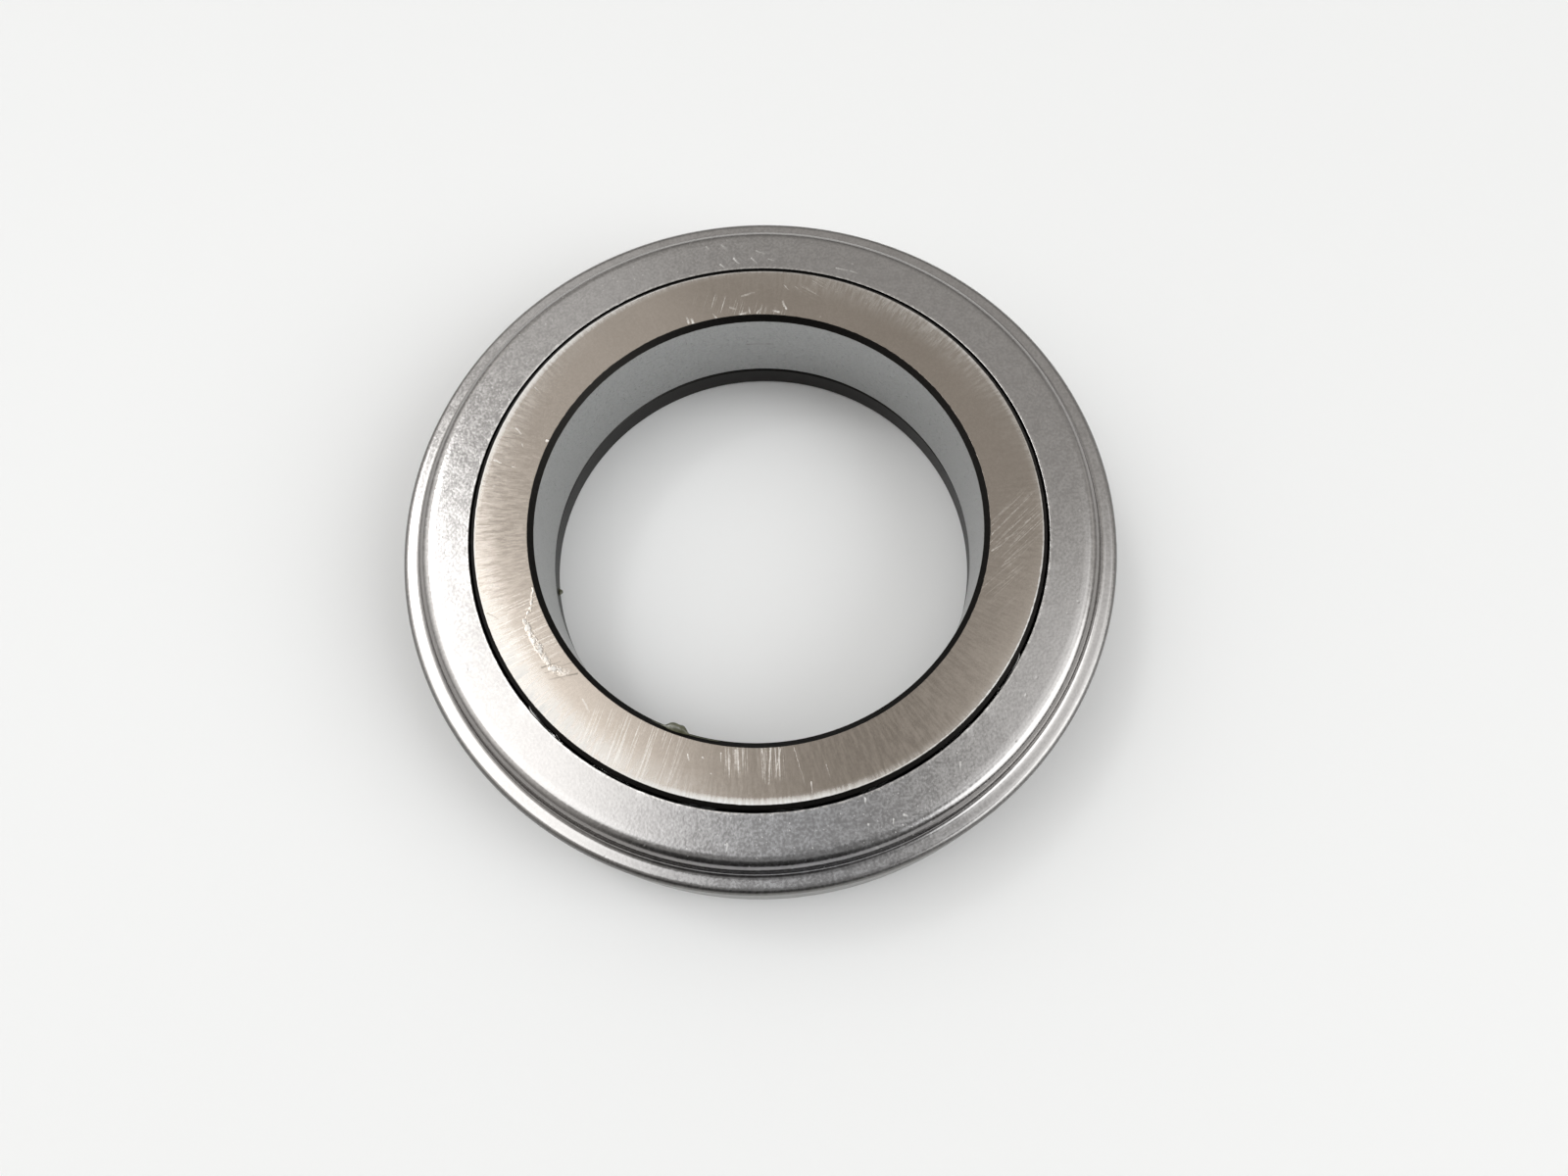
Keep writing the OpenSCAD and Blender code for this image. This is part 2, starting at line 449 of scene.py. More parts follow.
def largest(tree, values):
    total = values[0]
    for value in values[1:]:
        total = calc(tree, "MAXIMUM", total, value)
    return total


# hub ring

hubRing = {
    "neck": 4.25,  # wall between the bore and the balls
    "mouthChamfer": 0.8,
    "faceChamfer": 0.6,
    "footChamfer": 0.4,
    "edge": 0.06,  # radius left on the ground edges
    "rollWidth": 1.3,  # rim of the face, rolled down by wear
    "rollDrop": 0.004,
    "rollRadius": 30.0,
    "trackTrim": 0.985,  # keeps the end of the ball track clear of the head's edge
    "turns": 512,
    "arcSteps": 6,
    "legSteps": 5,
    # wear of the face, in from its rim: a bright edge, a milky veil and a ragged line
    "rimWidth": 1.2,
    "veilWidth": 4.8,
    "lineReach": 0.36,
    "rimBase": 0.02,
    "lineBase": 0.30,
    # where each lies: middle and half width in degrees round the axis, strength
    "rimWear": [(-99, 26, 0.90), (-45, 16, 0.12), (40, 32, 0.42), (137, 28, 0.68)],
    "veilWear": [(-142, 26, 0.50), (48, 26, 0.22), (148, 24, 0.10)],
    "lineWear": [(-100, 30, 0.40), (-36, 24, 0.50), (132, 32, 0.45)],
    "nicks": (2.2, 0.30, 0.14),  # pitch, size, share of the cells that have one
    "shake": 0.30,  # how far a stroke strays from straight
    "smearShake": 0.9,
    "smudgeZ": 13.2,  # height of the smudge on the bore
    # colours, dark and light where a noise mixes two
    "faceColors": ((0.345, 0.302, 0.261), (0.437, 0.385, 0.339)),
    "boreColors": ((0.350, 0.354, 0.352), (0.415, 0.418, 0.415)),
    "scaleColors": ((0.008, 0.0075, 0.007), (0.030, 0.028, 0.026)),
    "trackColor": (0.62, 0.62, 0.61),
    "hazeColor": (0.86, 0.865, 0.86),
    # pale colour of the worn marks: real wear, lightened as a painted sheen
    "wornColor": (0.92, 0.90, 0.87),
    "rubColor": (0.10, 0.09, 0.075),
    # roughness, with how much a noise adds
    "faceRough": (0.13, 0.08),
    "boreRough": (0.27, 0.08),
    "scaleRough": (0.38, 0.20),
    "trackRough": 0.09,
    "wornRough": 0.75,
    # bump, mm
    "brushHeight": 0.002,
    "grainHeight": 0.0007,
    "smearHeight": 0.05,
}


def hubCorners(size):
    # Section of the ring. The groove is one fillet about the ball's centre: its tip is where the neck's
    # line meets the tangent at the head's edge.
    neckR = boreR + size["neck"]
    trackR = pitchR - neckR
    inset = pitchR - headR
    headZ = ballZ + math.sqrt(trackR ** 2 - inset ** 2)
    trackZ = headZ - (headR - neckR) * inset / (headZ - ballZ)
    faceR = headR - size["faceChamfer"]
    foot, edge = size["footChamfer"], size["edge"]
    return {
        "footIn": (boreR + foot, footZ, edge),
        "footOut": (neckR - foot, footZ, edge),
        "neck": (neckR, footZ + foot, edge),
        "track": (neckR, trackZ, trackR * size["trackTrim"]),
        "headFoot": (headR, headZ, edge),
        "headTop": (headR, topZ - size["faceChamfer"], edge),
        "faceRim": (faceR, topZ - size["rollDrop"], edge),
        "faceRoll": (faceR - size["rollWidth"], topZ, size["rollRadius"]),
        "mouth": (boreR + size["mouthChamfer"], topZ, edge),
        "boreTop": (boreR, topZ - size["mouthChamfer"], edge),
        "boreFoot": (boreR, footZ + foot, edge),
    }


# bundles of fine scratches on the ground face: x, y, direction in degrees, half length, half width,
# lines per mm, where the noise is cut, strength
faceBundles = [
    (-1.7, -34.6, 87.0, 3.6, 2.2, 5.5, 0.50, 0.50),
    (-6.4, -34.6, 86.0, 2.6, 1.9, 5.0, 0.50, 0.45),
    (36.4, -5.6, 38.0, 7.5, 4.5, 6.0, 0.54, 0.22),
    (33.2, -14.0, 34.0, 5.5, 4.0, 5.0, 0.56, 0.14),
    (-20.5, -31.0, 66.0, 5.5, 9.0, 4.5, 0.52, 0.30),
    (12.3, 37.0, 140.0, 2.4, 2.6, 5.0, 0.52, 0.25),
    (1.0, 34.4, 70.0, 1.9, 9.0, 3.5, 0.56, 0.40),
    (-34.0, -13.0, 20.0, 6.0, 7.0, 4.5, 0.52, 0.20),
]

# single strokes on the face: x and y of both ends, width, strength
faceStrokes = [
    (-6.3, -33.2, -6.5, -35.6, 0.35, 0.40), (-2.7, -33.3, -2.7, -38.0, 0.12, 0.55),
    (-1.6, -33.3, -2.3, -38.1, 0.16, 0.85), (-0.3, -33.6, -1.4, -37.5, 0.12, 0.55),
    (-8.3, -33.3, -8.4, -34.4, 0.14, 0.60), (1.5, -33.6, 2.5, -38.9, 0.10, 0.30),
    (3.3, -38.4, 3.3, -40.1, 0.12, 0.75), (5.6, -36.4, 5.9, -38.3, 0.09, 0.40),
    (-12.8, -33.0, -12.7, -33.8, 0.16, 0.75), (-10.8, -33.6, -10.7, -33.8, 0.18, 0.75),
    (-9.9, -35.9, -9.8, -36.0, 0.16, 0.60), (-26.5, -23.9, -25.7, -25.7, 0.18, 0.45),
    (32.9, -6.4, 40.6, -0.1, 0.12, 0.40), (32.5, -8.8, 34.0, -8.1, 0.16, 0.55),
    (34.6, -7.3, 36.6, -6.5, 0.14, 0.32), (37.9, -5.2, 40.7, -3.2, 0.14, 0.28),
    (33.5, -11.3, 36.4, -9.8, 0.12, 0.32), (34.0, -10.7, 40.0, -6.9, 0.12, 0.22),
    (7.8, 37.8, 8.4, 36.9, 0.14, 0.55), (9.5, 37.4, 10.0, 36.7, 0.12, 0.45),
    (1.1, 36.6, 3.1, 37.1, 0.26, 0.40), (-7.4, 32.9, -7.6, 33.8, 0.28, 1.00),
    (-6.7, 32.7, -6.9, 33.6, 0.26, 1.00), (6.5, 33.2, 5.6, 33.5, 0.28, 0.90),
    (7.7, 33.6, 7.3, 35.0, 0.24, 0.85), (-0.8, 34.8, 0.0, 34.5, 0.30, 0.50),
    (0.6, 33.4, 1.6, 33.7, 0.34, 0.90), (3.2, 33.4, 3.9, 34.2, 0.22, 0.70),
    (-3.1, 33.3, -3.6, 34.0, 0.20, 0.55), (2.1, 33.5, 2.0, 34.6, 0.18, 0.55),
    (-34.3, 18.1, -33.5, 17.1, 0.16, 0.50), (-37.7, 13.3, -36.7, 12.8, 0.16, 0.65),
    (-35.1, 12.0, -34.5, 11.7, 0.12, 0.35), (-31.2, 24.6, -30.5, 23.6, 0.12, 0.45),
    (-29.9, 15.6, -29.4, 15.4, 0.28, 0.90), (-33.5, 15.5, -33.4, 14.8, 0.12, 0.30),
]

# pale smear dragged over the face, the dark rubs that cross its foot, and a smudge on the bore
smearStrokes = [
    (-33.0, -9.8, -32.7, -7.1, 0.22, 0.85), (-33.0, -9.8, -34.0, -11.6, 0.24, 0.85),
    (-33.9, -11.9, -33.1, -14.4, 0.42, 1.00), (-32.1, -16.3, -33.1, -14.4, 0.62, 1.00),
    (-32.1, -16.3, -30.8, -18.6, 0.50, 0.95), (-30.4, -19.2, -28.6, -19.8, 0.75, 0.80),
]
rubStrokes = [
    (-31.9, -18.8, -29.4, -18.3, 0.18, 0.70), (-27.0, -18.5, -29.2, -18.9, 0.16, 0.50),
    (-27.0, -20.2, -30.9, -20.6, 0.20, 0.70), (-31.5, -19.6, -28.5, -19.3, 0.14, 0.45),
    (-30.2, -19.9, -28.8, -21.0, 0.14, 0.40), (-39.2, -10.1, -37.6, -11.2, 0.16, 0.55),
]
smudgeStrokes = [(1.2, 32.5, 3.2, 32.4, 0.40, 0.60), (5.2, 32.1, 2.8, 32.4, 0.44, 0.50)]


def rimHaze(tree, at, size, streak, ragged):
    # Haze by the way in from the rim of the face, the strongest of three: a bright edge and a veil, both
    # streaked across the face, and a ragged line.
    inward = calc(tree, "SUBTRACT", headR - size["faceChamfer"], at["Radius"])
    rim = ramp(tree, inward, 0.0, size["rimWidth"], attribute(tree, "edgeWear"), 0.0)
    rim = times(tree, rim, spread(tree, streak, 0.62, 0.60))
    veil = ramp(tree, inward, 0.0, size["veilWidth"], attribute(tree, "veilWear"), 0.0)
    veil = times(tree, veil, spread(tree, streak, 0.45, 1.0))
    frayed = spread(tree, ragged, inward, -size["lineReach"])
    line = ramp(tree, frayed, -0.08, 0.08, attribute(tree, "lineWear"), 0.0)
    return largest(tree, [rim, veil, line])


def faceMarks(tree, place, size, fleck):
    # Scratches and nicks broken up by the grain, painted pale for the sheen they catch, a smear that lies
    # in clumps, and dark rubs.
    shaken = wobbled(tree, place, size["shake"])
    nicks = nicksOn(tree, place, *size["nicks"])
    wearAndSheen = largest(tree, [strokes(tree, shaken, topZ, faceStrokes), times(tree, nicks, 0.5)])
    wearAndSheen = largest(tree, [wearAndSheen, scratches(tree, place, topZ, faceBundles)])
    wearAndSheen = times(tree, wearAndSheen, spread(tree, fleck, 0.6, 0.6))
    clump = ramp(tree, noise(tree, place, 2.2, 3.0, 0.6), 0.34, 0.60)
    smear = strokes(tree, wobbled(tree, place, size["smearShake"]), topZ, smearStrokes)
    smear = times(tree, smear, clump)
    smudge = times(tree, strokes(tree, shaken, size["smudgeZ"], smudgeStrokes), fleck)
    rubs = largest(tree, [strokes(tree, shaken, topZ, rubStrokes), smudge])
    return wearAndSheen, smear, rubs


def groundSteel(size, cornerAt):
    # Ground face and bore, black heat scale on the chamfers and the head.
    material, tree, shader = newFinish("ground steel")
    at = useGroup(tree, ringPlace)
    place = at["Place"]
    ragged = noise(tree, place, 1.1, 4.0, 0.65)
    band = bandMaker(tree, at["Along"], ragged)
    face = band(cornerAt["faceRim"], cornerAt["mouth"], 0.05, 0.16)
    bore = band(cornerAt["boreTop"], cornerAt["boreFoot"], 0.04, 0.12)
    track = band(cornerAt["track"], cornerAt["headFoot"], 0.2, 0.0)
    metal = largest(tree, [face, bore, track])
    grain = noise(tree, place, 2.6, 4.0, 0.7)
    fleck = ramp(tree, grain, 0.36, 0.66)
    brushed = brushing(tree, at, at["Radius"], 105.0, 0.45, 3.0)
    streak = ramp(tree, brushed, 0.32, 0.68)
    haze = times(tree, rimHaze(tree, at, size, streak, ragged), face)
    wearAndSheen, smear, rubs = faceMarks(tree, place, size, fleck)
    wearAndSheen = times(tree, largest(tree, [wearAndSheen, smear]), face)

    cloud = noise(tree, place, 0.10, 3.0, 0.5)
    tone = spread(tree, fleck, times(tree, cloud, 0.70), 0.30)
    color = mixColor(tree, tone, *size["faceColors"])
    color = mixColor(tree, bore, color, mixColor(tree, fleck, *size["boreColors"]))
    color = mixColor(tree, track, color, size["trackColor"])
    color = mixColor(tree, haze, color, size["hazeColor"])
    # scratches and nicks are real marks whose pale colour also paints the sheen they catch; the smear is
    # pale of its own
    color = mixColor(tree, wearAndSheen, color, size["wornColor"])
    color = mixColor(tree, rubs, color, size["rubColor"])
    color = mixColor(tree, metal, mixColor(tree, grain, *size["scaleColors"]), color)

    rough = spread(tree, streak, *size["faceRough"])
    rough = mixValue(tree, bore, rough, spread(tree, fleck, *size["boreRough"]))
    rough = mixValue(tree, track, rough, size["trackRough"])
    rough = mixValue(tree, largest(tree, [haze, wearAndSheen]), rough, size["wornRough"])
    rough = mixValue(tree, metal, spread(tree, grain, *size["scaleRough"]), rough)

    height = times(tree, brushed, size["brushHeight"])
    height = spread(tree, grain, height, size["grainHeight"])
    height = spread(tree, smear, height, size["smearHeight"])
    dress(tree, shader, color, rough, height)
    return material


hubPiece, hubAt = latheObject("hubRing", hubRing, hubCorners(hubRing))
ringAttribute(hubPiece, "edgeWear", hubRing["rimBase"], hubRing["rimWear"])
ringAttribute(hubPiece, "veilWear", 0.0, hubRing["veilWear"])
ringAttribute(hubPiece, "lineWear", hubRing["lineBase"], hubRing["lineWear"])
hubPiece.data.materials.append(groundSteel(hubRing, hubAt))
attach(hubPiece, "hub")
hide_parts("hub_ring")


# thrust race

thrustRace = {
    "floor": 4.4,  # thickness under the balls
    "boreRelief": 0.3,
    "corner": 0.4,  # edge break
    "rimCorner": 0.2,  # edge break under the bend of the rim
    "crimpZ": 4.2,  # where the skirt turns in under the cone
    "coneFoot": 0.3,  # radii at the foot and the top of the cone
    "coneTop": 0.2,
    "edge": 0.08,
    "turns": 360,
    "arcSteps": 8,
    "legSteps": 4,
    # colours, dark and light, roughness with how much a noise adds, and bump in mm
    "bareColors": ((0.42, 0.40, 0.38), (0.60, 0.58, 0.56)),
    "scaleColors": ((0.016, 0.015, 0.014), (0.046, 0.044, 0.042)),
    "bareRough": (0.14, 0.20),
    "scaleRough": (0.28, 0.25),
    "ringHeight": 0.003,
    "grainHeight": 0.003,
}


def raceCorners(size):
    # Section of the race. The wall is as far outside the pitch circle as the neck is inside it, the groove
    # is a quarter circle between wall and floor, and the cone rises at 45 degrees.
    bore, corner, edge = boreR + size["boreRelief"], size["corner"], size["edge"]
    grooveR = pitchR - boreR - hubRing["neck"]
    wallR = pitchR + grooveR
    return {
        "boreFoot": (bore, corner, edge),
        "faceIn": (bore + corner, 0.0, edge),
        "faceOut": (raceR - size["crimpZ"], 0.0, size["coneFoot"]),
        "coneTop": (raceR, size["crimpZ"], size["coneTop"]),
        "sideTop": (raceR, raceTopZ - size["rimCorner"], edge),
        "topOut": (raceR - size["rimCorner"], raceTopZ, edge),
        "topIn": (wallR + corner, raceTopZ, edge),
        "wallTop": (wallR, raceTopZ - corner, edge),
        "track": (wallR, size["floor"], grooveR),
        "floorIn": (bore + corner, size["floor"], edge),
        "boreTop": (bore, size["floor"] - corner, edge),
    }


def raceSteel(size, cornerAt):
    # Heat-treated black race with a ground thrust face and a polished ball track.
    material, tree, shader = newFinish("race steel")
    at = useGroup(tree, ringPlace)
    place = at["Place"]
    band = bandMaker(tree, at["Along"], noise(tree, place, 1.0, 4.0, 0.6))
    thrustFace = band(cornerAt["faceIn"], cornerAt["faceOut"], 0.05, 0.15)
    track = band(cornerAt["wallTop"], cornerAt["track"], 0.4, 0.0)
    metal = largest(tree, [thrustFace, track])
    rings = brushing(tree, at, at["Radius"], 1.2, 9.0, 4.0)
    grain = noise(tree, place, 2.2, 4.0, 0.65)
    bare = mixColor(tree, rings, *size["bareColors"])
    color = mixColor(tree, metal, mixColor(tree, grain, *size["scaleColors"]), bare)
    bareRough = spread(tree, rings, *size["bareRough"])
    rough = mixValue(tree, metal, spread(tree, grain, *size["scaleRough"]), bareRough)
    height = spread(tree, rings, times(tree, grain, size["grainHeight"]), size["ringHeight"])
    dress(tree, shader, color, rough, height)
    return material


racePiece, raceAt = latheObject("thrustRace", thrustRace, raceCorners(thrustRace))
racePiece.data.materials.append(raceSteel(thrustRace, raceAt))
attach(racePiece, "thrust")
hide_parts("thrust_race")


# shroud

shroudSheet = {
    "sheet": 0.85,
    "holeGap": 0.35,  # running gap round the head
    "stepAngle": 76.0,  # slope of the step, degrees down from the plate
    "shoulder": 1.9,  # outside radius of the bend at the shoulder
    "foot": 0.95,  # radius at the foot of the step
    "ledgeFlat": 0.99,
    "rimIn": 0.1,  # inside radius of the bend at the rim
    "crimpZ": thrustRace["crimpZ"],
    "lip": 1.8,  # length of the crimped lip
    "lipEdge": 0.16,
    "droopWidth": 2.1,  # the plate sags a little towards its shoulder
    "droop": 0.06,
    "droopRadius": 14.0,
    "roll": 0.12,  # die roll round the hole
    "edge": 0.06,
    "wave": 0.012,  # height of the waves that the press leaves in the sheet
    "waveCounts": (3, 5, 8, 13, 21, 34),  # waves round the axis
    "burr": 0.035,  # burrs left round the hole
    "burrWide": 0.12,
    "seed": 5,
    "turns": 600,
    "arcSteps": 8,
    "legSteps": 3,
    # painted cool light on the near side, and mottle of the sheet: middle and half width in degrees round
    # the axis, strength
    "tint": [(-88, 22, 1.0)],
    "mottle": [(-84, 36, 0.75), (100, 26, 0.35), (153, 22, 0.70)],
    "mottleBase": 0.20,
    "shearIn": 0.30,  # sheared edge, painted bright as glints, below and above the hole's corner
    "shearOut": 0.12,
    "skirtOver": 0.35,  # how far the skirt's tone runs over the rim, and the painted shade of the step over the shoulder
    "stepOver": 0.2,
    "nicks": (1.9, 0.32, 0.16),  # pitch, size, share of the cells that have one
    "shake": 0.30,  # how far a stroke strays from straight
    # colours, dark and light where a noise mixes two; the painted cool light and the painted shade of the
    # step multiply the sheet's own
    "sheetColors": ((0.360, 0.346, 0.339), (0.466, 0.449, 0.440)),
    "skirtColors": ((0.13, 0.126, 0.122), (0.28, 0.272, 0.264)),
    # painted cool light, multiplied over the sheet where its attribute is
    "tintColor": (0.96, 1.0, 1.06),
    # painted shade of the step, multiplied over the sheet's colour
    "stepColor": (0.68, 0.67, 0.66),
    "shearColor": (0.72, 0.70, 0.68),
    # pale colour of the nicks, specks and struck marks, lightened as a painted glint
    "wornColor": (0.88, 0.87, 0.85),
    # painted shade of the dents
    "dentColor": (0.10, 0.095, 0.09),
    # roughness, with how much a noise adds
    "sheetRough": (0.13, 0.10),
    "skirtRough": (0.25, 0.20),
    "wornRough": 0.5,
    # bump, mm
    "grainHeight": 0.011,
    "blotchHeight": 0.007,
    "nickDepth": 0.015,
}


def shroudCorners(size):
    # Section of the sheet, out along its under side and back along its top. At a bend the corner of the
    # under side is in by the sheet times the tangent of half the bend.
    sheet, holeR = size["sheet"], headR + size["holeGap"]
    ledgeZ = raceTopZ + sheet
    rimR = raceR + sheet
    rim = sheet + size["rimIn"]
    stepAngle = math.radians(size["stepAngle"])
    halfTurn = math.tan(stepAngle / 2)
    footR = rimR - rim - size["ledgeFlat"] - size["foot"] * halfTurn
    shoulderR = footR - (plateZ - ledgeZ) / math.tan(stepAngle)
    inset = sheet * halfTurn
    slant = math.sqrt(0.5)  # the crimp turns in by 45 degrees
    bendR, bendZ = raceR + sheet * slant, size["crimpZ"] - sheet * slant
    tipR, tipZ = bendR - size["lip"] * slant, bendZ - size["lip"] * slant
    return {
        "holeFoot": (holeR, plateZ - sheet, size["edge"]),
        "shoulderUnder": (shoulderR - inset, plateZ - sheet, size["shoulder"] - sheet),
        "footUnder": (footR - inset, raceTopZ, size["foot"] + sheet),
        "rimUnder": (raceR, raceTopZ, size["rimIn"]),
        "crimpIn": (raceR, size["crimpZ"], size["edge"]),
        "lipIn": (tipR - sheet * slant, tipZ + sheet * slant, size["edge"]),
        "lipOut": (tipR, tipZ, size["lipEdge"]),
        "crimp": (rimR, size["crimpZ"] - sheet * math.tan(math.pi / 8), sheet),
        "rim": (rimR, ledgeZ, rim),
        "foot": (footR, ledgeZ, size["foot"]),
        "shoulder": (shoulderR, plateZ - size["droop"], size["shoulder"]),
        "droop": (shoulderR - size["droopWidth"], plateZ, size["droopRadius"]),
        "hole": (holeR, plateZ, size["roll"]),
    }


def pressWaves(size, corners):
    # Sum of cosines round the axis with seeded phases, each riding slowly along the section, plus burrs at
    # the hole's upper edge: seeded heights round the axis times a bell along the section.
    draw = np.random.default_rng(size["seed"])
    holeAt = roundedSection(corners, size)[2]["hole"]
    burrs = np.clip(draw.normal(0, 1, size["turns"]), 0, 3)
    burrs = (np.roll(burrs, 1) + 2 * burrs + np.roll(burrs, -1)) / 4
    phase = draw.uniform(0, 2 * math.pi, (2, len(size["waveCounts"])))

    def swell(along, angle):
        total = 0
        for k, count in enumerate(size["waveCounts"]):
            total = total + np.cos(count * angle + phase[0, k] + np.sin(along / 6 + phase[1, k])) / (1 + k)
        bell = np.exp(-((along - holeAt) / size["burrWide"]) ** 2)
        return bell * burrs * size["burr"] - np.abs(total) * size["wave"] / 2
    return swell


# single strokes on the plate, pale where the sheet was struck, which also paints their glint, and dark
# where it was dented, which is painted shade
plateStrokes = [
    (-1.7, 43.1, -1.1, 42.5, 0.22, 0.80), (0.5, 44.0, 1.2, 42.9, 0.24, 0.90),
    (3.3, 43.7, 4.0, 42.7, 0.20, 0.70), (5.9, 43.2, 6.7, 42.8, 0.18, 0.60),
    (4.1, 44.9, 5.4, 44.2, 0.20, 0.45), (-3.6, 46.6, -3.2, 46.0, 0.24, 0.45),
    (-1.1, 46.5, -0.3, 45.5, 0.45, 0.35), (16.2, 40.4, 18.0, 39.7, 0.20, 0.65),
    (18.4, 39.6, 19.5, 38.9, 0.16, 0.55), (23.5, -37.9, 23.4, -38.9, 0.16, 0.65),
    (10.2, -41.3, 10.2, -42.0, 0.20, 0.80), (13.6, -44.4, 13.5, -45.1, 0.18, 0.70),
    (15.1, -44.0, 15.5, -44.2, 0.24, 0.70), (-8.6, -45.2, -8.7, -46.2, 0.14, 0.50),
]
dentShadeStrokes = [
    (16.2, -44.2, 18.4, -44.1, 0.14, 0.50), (20.4, -37.6, 21.1, -37.7, 0.18, 0.45),
    (-41.9, 10.1, -41.7, 10.4, 0.24, 0.60), (-41.4, 12.4, -41.2, 12.6, 0.22, 0.55),
    (-45.0, 9.6, -44.7, 9.8, 0.22, 0.50), (31.4, -36.0, 31.6, -35.8, 0.26, 0.70),
]


def shroudSteel(size, cornerAt):
    # Pressed sheet: mottled satin grain, a sheared edge round the hole painted bright as glints, short
    # handling marks painted pale as their sheen, painted shade on the step and in the dents, painted cool
    # light on the near side.
    material, tree, shader = newFinish("shroud steel")
    at = useGroup(tree, ringPlace)
    place, along = at["Place"], at["Along"]
    band = bandMaker(tree, along, noise(tree, place, 1.3, 4.0, 0.6))
    crimp, rim, foot, hole = (cornerAt[key] for key in ("crimp", "rim", "foot", "hole"))
    # painted glints: the bare sheared edge round the hole, lightened and broken up by a noise
    shearGlint = band(hole - size["shearIn"], hole + size["shearOut"], 0.08, 0.5)
    shearGlint = times(tree, shearGlint, ramp(tree, noise(tree, place, 1.5, 2.0, 0.6), 0.40, 0.66, 0.12, 0.8))
    skirt = band(crimp, rim + size["skirtOver"], 0.35, 0.3)
    # painted shade: the step, from its foot to just over the shoulder, is darkened
    step = band(foot, cornerAt["shoulder"] + size["stepOver"], 0.5, 0.3)
    drawn = brushing(tree, at, along, 150.0, 0.25, 3.0)

    # mottle, stronger where the attribute is, and small marks that keep to the plate
    grain = noise(tree, place, 2.4, 2.0, 0.5)
    blotch = noise(tree, place, 0.6, 2.0, 0.5)
    mottle = attribute(tree, "mottle")
    tone = spread(tree, blotch, times(tree, grain, 0.60), 0.40)
    tone = calc(tree, "SUBTRACT", ramp(tree, tone, 0.36, 0.64), 0.5)
    tone = spread(tree, tone, 0.5, spread(tree, mottle, 0.45, 0.5))
    speck = ramp(tree, noise(tree, place, 2.2, 1.0, 0.4), 0.70, 0.80)
    shaken = wobbled(tree, place, size["shake"])
    nicks = nicksOn(tree, place, *size["nicks"])
    wearAndSheen = times(tree, largest(tree, [nicks, speck]), spread(tree, mottle, 0.02, 0.50))
    wearAndSheen = times(tree, wearAndSheen, spread(tree, band(crimp, foot, 0.3, 0.2), 1.0, -0.7))
    wearAndSheen = largest(tree, [wearAndSheen, strokes(tree, shaken, plateZ, plateStrokes)])
    dentShade = strokes(tree, shaken, plateZ, dentShadeStrokes)

    color = mixColor(tree, tone, *size["sheetColors"])
    # painted cool light makes the near side bluer
    color = mixColor(tree, attribute(tree, "tint"), color, size["tintColor"], "MULTIPLY")
    color = mixColor(tree, skirt, color, mixColor(tree, drawn, *size["skirtColors"]))
    # painted shade darkens the step
    color = mixColor(tree, step, color, size["stepColor"], "MULTIPLY")
    # painted glints along the sheared edge
    color = mixColor(tree, shearGlint, color, size["shearColor"])
    # nicks, specks and struck marks are real; their pale colour also paints the glint they catch
    color = mixColor(tree, wearAndSheen, color, size["wornColor"])
    # painted shade in the dents
    color = mixColor(tree, dentShade, color, size["dentColor"])

    rough = spread(tree, tone, *size["sheetRough"])
    rough = mixValue(tree, wearAndSheen, rough, size["wornRough"])
    rough = mixValue(tree, skirt, rough, spread(tree, drawn, *size["skirtRough"]))

    height = times(tree, grain, size["grainHeight"])
    height = spread(tree, blotch, height, size["blotchHeight"])
    height = times(tree, height, spread(tree, mottle, 0.25, 0.80))
    height = times(tree, height, spread(tree, band(rim, foot, 0.3, 0.2), 1.0, -0.65))
    height = spread(tree, nicks, height, -size["nickDepth"])
    dress(tree, shader, color, rough, height)
    return material


sheetCorners = shroudCorners(shroudSheet)
sheetWaves = pressWaves(shroudSheet, sheetCorners)
shroudPiece, shroudAt = latheObject("shroud_sheet", shroudSheet, sheetCorners, sheetWaves)
ringAttribute(shroudPiece, "mottle", shroudSheet["mottleBase"], shroudSheet["mottle"])
# where the painted cool light lies, strongest on the near side
ringAttribute(shroudPiece, "tint", 0.0, shroudSheet["tint"])
shroudPiece.data.materials.append(shroudSteel(shroudSheet, shroudAt))
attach(shroudPiece, "thrust")
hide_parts("shroud")


# balls and cage, seen only when the bearing is opened

rollingSet = {
    "ballColors": ((0.60, 0.60, 0.60), (0.72, 0.72, 0.715)),
    "ballRough": (0.03, 0.08),
    "cageColors": ((0.36, 0.33, 0.28), (0.50, 0.48, 0.44)),
    "cageRough": (0.28, 0.20),
    "cageOil": 0.4,
    "cageHeight": 0.004,
}


def ballSteel(look):
    material, tree, shader = newFinish("polished ball steel")
    haze = noise(tree, objectPlace(tree), 0.7, 4.0, 0.6)
    color = mixColor(tree, haze, *look["ballColors"])
    dress(tree, shader, color, spread(tree, haze, *look["ballRough"]))
    return material


def cageSteel(look):
    material, tree, shader = newFinish("oiled cage steel")
    place = objectPlace(tree)
    stain = noise(tree, place, 0.4, 4.0, 0.6)
    grain = noise(tree, place, 3.0, 3.0, 0.6)
    shader.inputs["Coat Weight"].default_value = look["cageOil"]
    color = mixColor(tree, stain, *look["cageColors"])
    rough = spread(tree, grain, *look["cageRough"])
    dress(tree, shader, color, rough, times(tree, grain, look["cageHeight"]))
    return material


ballFinish = ballSteel(rollingSet)
cageFinish = cageSteel(rollingSet)
for nodeName, node in frame["nodes"].items():
    if nodeName.startswith("ball_"):
        node.data.materials.clear()
        node.data.materials.append(cageFinish if nodeName == "ball_cage" else ballFinish)
print("balls and cage finished")


# grease

